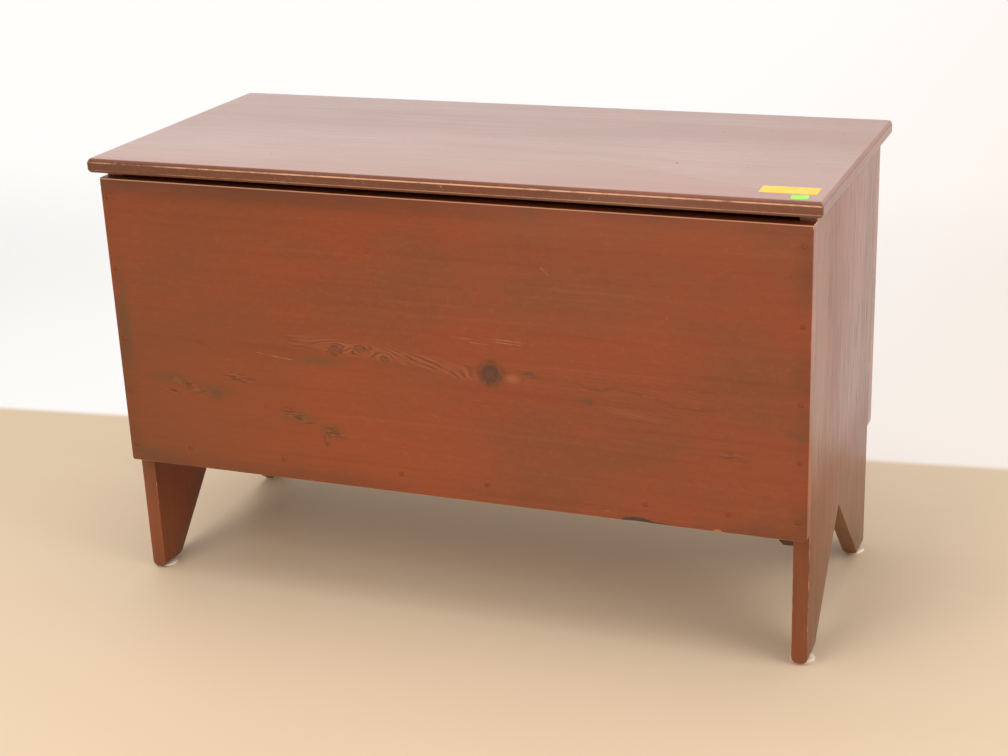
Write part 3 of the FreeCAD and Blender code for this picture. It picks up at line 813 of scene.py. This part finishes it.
REEDS = (272 * MM, 344 * MM)    # pale lines in the grain, right of the small knot
REED_SLOPE = 0.14


def patches(wood, ovals, edge):
    """Soft ovals, each given in millimetres; those with a slope fall to the right by it."""
    masks = []
    for (along, up), (reach_along, reach_up), *slope in ovals:
        v = wood.v + (wood.u - along * MM) * slope[0] if slope else wood.v
        masks.append(spot(wood.u, v, (along * MM, up * MM), (reach_along * MM, reach_up * MM), edge))
    return greatest(masks)


def flow_round_knots(wood, grain, ragged):
    """The grain pushed aside by the front board's knots, and masks of the knots' middles and rims."""
    cores, rims = [], []
    for (along, up, radius), drawn, push, dark, outline in FRONT_KNOTS:
        side = wood.v - up * MM
        run = wood.u - along * MM
        spread = run * run * 0.2 + side * side + (radius * MM) ** 2 * 0.5
        grain = grain - side * (push * MM) ** 2 / spread
        ring = hypot(run / (radius * drawn * MM), side / (radius * MM)) + ragged * 0.8
        cores.append(ring.step(1.15, 0.5) * dark)
        rims.append(ring.step(0.6, 0.95) * ring.step(1.4, 1.0) * outline)
    return grain, greatest(cores), greatest(rims)


def front_marks(wood):
    """What the front board alone has: knots with the grain flowing round them, scratches, smudges, a
    gouge, a chip, and along the top a painted highlight on the right and painted shade on the left."""
    u, v = wood.u, wood.v
    face = (wood.w - FRONT_LOW.y).step(2.5 * MM, 1.5 * MM)
    wobble = wood.place.noise((26, 60, 60), 2) - 0.5
    ragged = wood.place.noise((150, 150, 150), 3, 0.6) - 0.5
    patchy = wood.place.noise((34, 110, 110), 2)
    fall = (u - FIGURE_START) * FIGURE_SLOPE
    sag = fall + u.step(-0.09, 0.06) * (9 * MM)
    feather = (u + 0.085).greater(0).lesser(0.135) * 0.22
    grain = v + fall + feather + wobble * (5 * MM)
    grain, core, rim = flow_round_knots(wood, grain, ragged)

    lines = grain.wave(5.2 * MM)
    near = abs(v + sag - FIGURE_TOP)
    swirl = near.step(14 * MM, 5 * MM) * u.step(-0.245, -0.2) * u.step(0.075, 0.03)
    fine = near.step(52 * MM, 14 * MM) * u.step(0.12, 0.22) * u.step(0.44, 0.34) * 0.13
    far_left = near.step(110 * MM, 60 * MM) * u.step(-0.30, -0.38) * 0.12
    figure = (swirl + fine + far_left + 0.03) * patchy.step(0.3, 0.6)
    wood.paint(swirl * 0.18, PALE_GRAIN)
    wood.paint(lines.step(0.6, 1.0) * figure * 0.7, DARK_GRAIN)
    wood.paint(lines.step(0.4, 0.0) * figure * 0.32, PALE_GRAIN)

    smudge = patches(wood, SMUDGES, 0.95)
    wood.paint(u.step(-0.05, -0.42) * (0.24 + v.step(0.46, 0.38) * 0.3), RUST_BROWN)
    # painted highlight: a paler band just under the top edge, right of the middle
    wood.paint(v.step(0.55, 0.595) * u.step(-0.02, 0.12) * 0.14, PALE_GRAIN)
    # painted shade: a dark band just under the top edge on the left, under the lid
    wood.paint(v.step(0.583, 0.602) * u.step(0.2, -0.05) * (patchy + 0.3) * 0.6, UMBER)
    wood.paint(smudge * (0.6 + ragged), OLIVE_SMUDGE)
    dashed = patches(wood, DASHES, 0.9)
    dash = wood.place.noise((62, 520, 520), 2).step(0.46, 0.58)
    wood.paint(dashed * dash * 0.75, DARK_GRAIN)
    wood.paint(dashed * (1 - dash) * 0.25, PALE_GRAIN)

    wood.paint(spot(u, v, PALE_PATCH, (16 * MM, 9 * MM), 0.8) * 0.55, PALE_GRAIN)
    reeds = (v + u * REED_SLOPE).wave(3.2 * MM).step(0.3, 1.0) * patchy.step(0.25, 0.55)
    reeds = reeds * spot(u, v + (u - REEDS[0]) * REED_SLOPE, REEDS, (66 * MM, 8 * MM), 0.9)
    wood.paint(reeds * 0.5, PALE_GRAIN)
    wood.paint(core * (0.8 + ragged), KNOT_CORE)
    heart = hypot(u - BIG_KNOT[0], v - BIG_KNOT[1]) + ragged * (7 * MM)
    wood.paint(heart.step(15 * MM, 10 * MM) * (0.9 + ragged), KNOT_HEART)
    heart_rings = heart.wave(3 * MM).step(0.5, 1.0) * heart.step(23 * MM, 14 * MM) * u.step(0.06, 0.08)
    wood.paint(heart.step(9 * MM, 3 * MM) * 0.4, RUST_BROWN)
    wood.paint(heart_rings * 0.55, KNOT_RIM)
    wood.paint(rim * (0.55 + ragged * 4), KNOT_RIM)
    strokes = (nearest_line(u, v, DARK_STROKES) + ragged * (5 * MM)).step(4.2 * MM, 0.2 * MM)
    wood.paint(strokes * patchy.step(0.2, 0.7) * 0.6, UMBER)
    scratches = (nearest_line(u, v, PALE_SCRATCHES) + ragged * (1.4 * MM)).step(0.8 * MM, 0.1 * MM)
    scratches = scratches * face * patchy.step(0.3, 0.65)
    wood.paint(scratches * 0.3, RUBBED_PINE)

    head = spot(u, v, (GOUGE.x, GOUGE.z), (GOUGE_SIZE.x * 1.15, GOUGE_SIZE.z * 1.25), 0.4)
    tail = spot(u, v, (GOUGE_TAIL.x, GOUGE_TAIL.z), (TAIL_SIZE.x * 1.1, TAIL_SIZE.z * 1.25), 0.4)
    gouge_mask = head.greater(tail) * (wood.w - FRONT_LOW.y).step(6 * MM, 4.5 * MM)
    wood.paint(gouge_mask * (0.85 + ragged), GREY_GOUGE)
    chip_mask = spot(u, v, (CHIP.x, CHIP.z), (CHIP_SIZE.x * 1.1, CHIP_SIZE.z * 1.2), 0.3) * face
    wood.paint(chip_mask * 0.9, FRESH_CHIP)

    wood.height = wood.height + lines * figure * 1.2 - core * 1.0 - scratches * 1.5 + ragged * core * 2
    wood.roughness = wood.roughness + core * 0.1 + gouge_mask * 0.3
    front_wear(wood)


def front_wear(wood):
    """The front board's worn edges, and its varnish, which is thinner to the left and on its end grain."""
    u, v = wood.u, wood.v
    length = FRONT_HIGH.x - FRONT_LOW.x
    upper_edge = FRONT_HIGH.z - (u - FRONT_LOW.x) * (TOP_DROP / length)
    lower_edge = FRONT_LOW.z + (u - FRONT_LOW.x) * (BOTTOM_RISE / length)
    top = upper_edge - v
    top_face = top.step(0.6 * MM, 0.2 * MM)
    ends = (u - FRONT_LOW.x).lesser(FRONT_HIGH.x - u)
    depth = (wood.w - FRONT_LOW.y).lesser(FRONT_HIGH.y - wood.w)
    wood.arris = median(ends, depth, (top - 0.6 * MM).lesser(v - lower_edge))
    wood.rub = top.step(6 * MM, 3 * MM) * (0.74 - u.step(-0.34, -0.5) * 0.34) - 0.08
    wood.rub += (v - lower_edge).step(5 * MM, 3 * MM) * 0.2
    wood.rub -= ends.step(4 * MM, 3 * MM) * v.step(0.5, 0.25) * 0.5
    end_grain = ends.step(0.6 * MM, 0.2 * MM)
    wood.paint(end_grain * 0.8, ORANGE_RED)
    low_corner = (ends + depth).step(3 * MM, 1.5 * MM) * v.step(0.5, 0.25)
    wood.gloss *= 1 + end_grain * (v.step(0.2, 0.5) * 0.6 - 0.5)
    wood.gloss *= 1 - top_face * 0.85
    wood.gloss *= 1 - low_corner * 0.6
    wood.gloss *= 1 - u.step(0.25, -0.35) * 0.6
    wood.gloss *= 1 - v.step(0.5, 0.58) * u.step(0.2, -0.1) * 0.3


# Dark specks on the lid: (along, across) in millimetres, and radius.
LID_SPECKS = [((292, -78), 3.4), ((306, 110), 2), ((368, 129), 2), ((386, -79), 2), ((323, -71), 1.6),
              ((469, 131), 2), ((-273, -138), 2.4)]


def lid_marks(wood):
    """What the lid alone has: dust in its varnish, painted sheen on its front half, a few dark specks, a
    moulding gone dark, and worn lines along the moulding's two arrises."""
    u, v, w = wood.u, wood.v, wood.w
    ragged = wood.place.noise((170, 170, 170), 3, 0.6) - 0.5
    from_end = (u - LID_LOW.x).lesser(LID_HIGH.x - u)
    edge = from_end.lesser(v - LID_LOW.y)
    ends = (v - LID_LOW.y - from_end).step(-1 * MM, 1 * MM) * from_end.step(9 * MM, 6 * MM)
    on_edge = edge.step(1.6 * MM, 0.9 * MM)
    moulded = edge.step(7 * MM, 5 * MM) * (w - LID_HIGH.z).step(-0.3 * MM, -1 * MM)

    specks = greatest([(hypot(u - along * MM, v - across * MM) + ragged * (2 * MM))
                       .step(radius * MM, radius * 0.4 * MM) for (along, across), radius in LID_SPECKS])
    wood.paint(wood.streak.step(0.35, 0.7) * 0.18 + 0.02, HAZE_AND_SHEEN)
    # painted sheen: the front half of the lid is paler
    wood.paint(v.step(0.02, -0.18) * 0.11, PAINTED_LID_SHEEN)
    wood.paint(specks * 0.9, KNOT_RIM)
    handled = 0.88 + ragged * 0.4 - ends * 0.4 - u.step(0.05, 0.3) * 0.25
    wood.paint(moulded * handled, UMBER)
    scuffs = wood.place.noise((110, 110, 110), 4, 0.7).step(0.6, 0.8) * moulded
    wood.paint(scuffs * 0.4, RUBBED_PINE)

    broad = wood.place.noise((1.5, 15, 15), 3)
    fine = wood.place.noise((6, 190, 190), 3, 0.6)
    wood.gloss *= 1.05 - fine.step(0.38, 0.66) * 0.12
    wood.gloss *= 1 - specks * 0.85
    wood.gloss *= 1 - moulded * (0.985 - ends * 0.74)
    wood.gloss *= 1.03 - broad.step(0.42, 0.66) * 0.12
    wood.gloss *= 1 - u.step(0.25, 0.5) * v.step(-0.15, 0.1) * 0.12
    wood.height -= specks * 1.5
    upper = abs(w - (LID_TOP - OVOLO_RADIUS - 0.2 * MM))
    lower = abs(w - (LID_LOW.z + COVE_RADIUS + 0.2 * MM)) + 0.4 * MM
    wood.arris = upper.lesser(lower) + (1 - on_edge) * (20 * MM)
    wood.rub = 0.22 - ends * 0.28 - abs(u - 0.05) * 0.2 - u.step(-0.3, -0.5) * 0.22


def foot_marks(wood):
    """What the end boards alone have: the V cut's arrises, a colour that darkens towards the bottom, and
    painted sheen near the front.
    """
    rise = V_TOP - LEFT_LOW.z
    run_front = V_POINT - V_FRONT
    run_back = V_BACK - V_POINT
    slant_front = (rise ** 2 + run_front ** 2) ** 0.5
    slant_back = (rise ** 2 + run_back ** 2) ** 0.5
    ahead = ((V_POINT - wood.y) * rise - (V_TOP - wood.z) * run_front) / slant_front
    behind = ((wood.y - V_POINT) * rise - (V_TOP - wood.z) * run_back) / slant_back
    thickness = (wood.x - wood.low.x).lesser(wood.high.x - wood.x)
    depth = (wood.y - wood.low.y).lesser(wood.high.y - wood.y)
    cut = ahead.greater(behind)
    wood.arris = wood.arris.lesser(thickness.greater(cut.lesser(depth)))
    wood.rub = -0.02
    side = thickness.step(0.6 * MM, 0.2 * MM)
    # darker towards the bottom
    low_darkening = wood.z.step(0.3, 0.02) * (0.25 + wood.blotches * 0.6)
    wood.paint(side * 0.25, ORANGE_RED)
    wood.paint(side * (0.15 + low_darkening * 0.4) + 0.3, RUST_BROWN)
    wood.paint((1 - side) * 0.18, PALE_GRAIN)
    wood.paint(low_darkening * side * 0.6, OLIVE_SMUDGE)
    weathered = wood.place.noise((6, 9, 9), 1).step(0.32, 0.52)
    inner = abs(wood.x).step(0.495, 0.488)
    fissures = wood.place.noise((11, 380, 380), 1).step(0.58, 0.70) * weathered * (1 - inner * 0.6)
    wood.paint(fissures * side * 0.8, KNOT_RIM)
    greyed = wood.place.noise((2.5, 55, 55), 3, 0.6).step(0.42, 0.66) * side
    wood.paint(greyed * 0.3, OLIVE_SMUDGE)
    wood.paint(inner * side * 0.4, ORANGE_RED)
    wood.height -= fissures * 2
    sawn = abs(cut).step(0.5 * MM, 0.2 * MM)
    wood.paint(sawn * 0.85, SAWN_OCHRE)
    # painted sheen: the upper front of each end board is paler, and glossier
    front_sheen = wood.y.step(-0.07, -0.19) * wood.z.step(0.2, 0.35) * side
    wood.paint(front_sheen * 0.14, HAZE_AND_SHEEN)
    wood.gloss *= 1 - sawn * 0.9
    wood.gloss *= 1 - fissures * 0.6
    wood.gloss *= 1.06 - greyed * 0.15
    wood.gloss *= 1 - wood.z.step(0.30, 0.21) * 0.56 + wood.z.step(0.15, 0.08) * 0.12
    wood.gloss *= 1 + front_sheen * 0.4 - wood.y.step(-0.05, 0.2) * 0.17


# ---- making
front_wash = washed_pine("washed_front", "XZY", (FRONT_LOW, FRONT_HIGH), (0.43, 0.06), 3.1,
                         streaks=0.55, gloss=0.69, marks=front_marks)
left_wash = washed_pine("washed_left_end", "ZYX", (LEFT_LOW, LEFT_HIGH), (0.03, -0.08), 7.7,
                        streaks=1.1, finer=2.2, gloss=0.74, marks=foot_marks)
right_wash = washed_pine("washed_right_end", "ZYX", (RIGHT_LOW, RIGHT_HIGH), (-0.02, -0.09), 11.3,
                         streaks=1.1, finer=2.2, gloss=0.74, marks=foot_marks)
back_wash = washed_pine("washed_back", "XZY", (BACK_LOW, BACK_HIGH), (0.36, 0.05), 17.9)
lid_wash = washed_pine("washed_lid", "XYZ", (LID_LOW, LID_HIGH), (0.02, -0.07), 23.3, streaks=1.0,
                       finer=1.6, clouds=0.4, gloss=1.05, varnish=LID_VARNISH, marks=lid_marks,
                       unpainted=lid_underside)
floor_wood = bare_pine("bare_floor", "XYZ", (0.05, -0.05), 29.1)
cleat_wood = bare_pine("dark_cleats", "YZX", (0.01, -0.05), 31.7, darkness=0.85)
painted_nails = painted_iron("painted_nails")
nail_iron = old_iron("nail_iron", 0.5)
hinge_iron = old_iron("hinge_iron", 0.42)
glide_felt = felt("glide_felt")

dress(make_front_board(), front_wash, "front_pine", "case", "front_board")
left_end = make_end_board("washed_end_board_left", "end_board_left")
right_end = copy_piece(left_end, "washed_end_board_right", (RIGHT_LOW.x - LEFT_LOW.x, 0, 0))
dress(left_end, left_wash, "end_pine", "case", "end_board_left")
dress(right_end, right_wash, "end_pine", "case", "end_board_right")
dress(make_lid(), lid_wash, "lid_pine", "lid", "lid_board")
for side, node in FRONT_NAIL_NODES.items():
    dress(make_nails("sunk_nails_" + side, node), painted_nails, "nail_iron", "case", node)
first_glide = make_glide("felt_glide_front_left", "glide_front_left")
dress(first_glide, glide_felt, "glide_felt", "case", "glide_front_left")
for place in ("front_right", "back_left", "back_right"):
    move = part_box("glide_" + place)[0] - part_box("glide_front_left")[0]
    dress(copy_piece(first_glide, "felt_glide_" + place, move), glide_felt, "glide_felt", "case",
          "glide_" + place)

# The stickers: colour, its paper, middle on the lid, size, and how many degrees they are turned.
STICKERS = [("orange", ORANGE_PAPER, (464.8 * MM, -181.2 * MM), (72 * MM, 31.5 * MM), 1.5),
            ("green", GREEN_PAPER, (483.6 * MM, -210.8 * MM), (21 * MM, 20 * MM), 9)]
for hue, papers, centre, size, degrees in STICKERS:
    sticker = make_sticker("blank_%s_sticker" % hue, centre, size, radians(degrees))
    sticker.data.materials.append(sticker_paper(hue + "_paper", *papers))
    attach(sticker, "lid")

# The CAD's own pieces, by what their names hold; the first that fits is theirs.
CARRIED = {"back_board": back_wash, "floor_board": floor_wood, "cleat_": cleat_wood,
           "hinge_": hinge_iron, "nails_": nail_iron}
for name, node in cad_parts.items():
    for part, material in CARRIED.items():
        if part in name:
            node.data.materials.clear()
            node.data.materials.append(material)
            break


# ---- floor, light and camera
WALL_LINE = 0.45                # from the chest's middle back to where the floor turns white
WALL_TURN = radians(7.3)
FLOOR_RADIUS = 30
FLOOR_COLOUR = srgb(218, 194, 164)
FLOOR_SHADE = srgb(206, 181, 150)
WALL_WHITE = (0.95, 0.945, 0.935, 1)
WALL_PEACH = (0.93, 0.835, 0.76, 1)   # the backdrop to the right of the chest
WARM_WHITE = (1, 0.99, 0.97, 1)       # both again, far off, where they glow
PEACH_WHITE = (1, 0.885, 0.815, 1)
SKY_STRENGTH = 0.57
LAMP_AIM = Vector((0, 0, 0.35))
# Lamps: name, place, size and power.
LAMPS = [("overhead", (-0.4, -0.2, 3.2), 2.6, 42), ("front", (-1.0, -2.8, 2.3), 2.0, 48),
         ("right", (2.6, -0.5, 1.7), 1.8, 33)]
CAMERA_PLACE = (0.9352, -2.2723, 1.2049)
CAMERA_LENS = 63.76                   # on a sensor 36 mm wide
CAMERA_TURN, CAMERA_TILT, CAMERA_ROLL = 22.28, -20.43, -2.34      # degrees


def seen_rays(start):
    """1 for rays that see a thing straight, in a mirror or through glass, and 0 for those that light it."""
    camera, glossy, through = start.node("ShaderNodeLightPath",
                                         out=("Is Camera Ray", "Is Glossy Ray", "Is Transmission Ray"))
    return camera.greater(glossy).greater(through)


def make_floor():
    """A plain pale floor that turns white behind the chest and far off."""
    ground = start_piece("studio_floor", bpy.ops.mesh.primitive_circle_add, (0, 0, 0),
                         vertices=64, radius=FLOOR_RADIUS, fill_type="NGON")
    material, here = new_material("studio_floor")
    x, y, _ = here.apart()
    behind = y * cos(WALL_TURN) - x * sin(WALL_TURN)
    white = behind.step(WALL_LINE - 0.01, WALL_LINE + 0.02)
    right = x.step(-0.7, 1.1)
    mottle = here.noise((3, 9, 9), 3)
    colour = (mottle * 0.25).tint(FLOOR_COLOUR, FLOOR_SHADE)
    colour = white.tint(colour, right.tint(WALL_WHITE, WALL_PEACH))
    far = behind.step(WALL_LINE + 0.3, WALL_LINE + 2.0).greater(hypot(x, y).step(3, 7))
    matt = here.node("ShaderNodeBsdfPrincipled", None, {"Base Color": colour, "Roughness": 0.6})
    glow = here.node("ShaderNodeEmission", None,
                     {"Color": right.tint(WARM_WHITE, PEACH_WHITE), "Strength": 1})
    surface = here.node("ShaderNodeMixShader", None, {0: far * seen_rays(here), 1: matt, 2: glow})
    here.node("ShaderNodeOutputMaterial", None, {"Surface": surface})
    ground.data.materials.append(material)


def make_world():
    """White where it is seen, and a soft plain light elsewhere."""
    world = bpy.data.worlds.new("studio")
    bpy.context.scene.world = world
    world.use_nodes = True
    world.node_tree.nodes.clear()
    start = Wire(world.node_tree)
    sky = start.node("ShaderNodeBackground", None, {"Color": WARM_WHITE, "Strength": SKY_STRENGTH})
    seen = start.node("ShaderNodeBackground", None, {"Color": WARM_WHITE, "Strength": 1})
    surface = start.node("ShaderNodeMixShader", None, {0: seen_rays(start), 1: sky, 2: seen})
    start.node("ShaderNodeOutputWorld", None, {"Surface": surface})


def make_lamp(name, place, size, power):
    """A soft square lamp that looks at the chest."""
    lamp = bpy.data.lights.new(name, "AREA")
    lamp.shape = "SQUARE"
    lamp.size = size
    lamp.energy = power
    stand = bpy.data.objects.new(name, lamp)
    bpy.context.scene.collection.objects.link(stand)
    stand.location = place
    stand.rotation_euler = (LAMP_AIM - Vector(place)).to_track_quat("-Z", "Y").to_euler()
    stand.visible_camera = False
    stand.visible_glossy = False


def make_camera():
    """The camera stands in front and to the right, and looks down a little."""
    camera = bpy.data.cameras.new("camera")
    camera.sensor_width = 36
    camera.lens = CAMERA_LENS
    stand = bpy.data.objects.new("camera", camera)
    bpy.context.scene.collection.objects.link(stand)
    turn = Matrix.Rotation(radians(CAMERA_TURN), 4, "Z")
    tilt = Matrix.Rotation(radians(90 + CAMERA_TILT), 4, "X")
    roll = Matrix.Rotation(radians(CAMERA_ROLL), 4, "Z")
    stand.matrix_world = Matrix.Translation(CAMERA_PLACE) @ turn @ tilt @ roll
    bpy.context.scene.camera = stand


make_floor()
make_world()
for lamp in LAMPS:
    make_lamp(*lamp)
make_camera()
bpy.context.scene.view_settings.view_transform = "Standard"
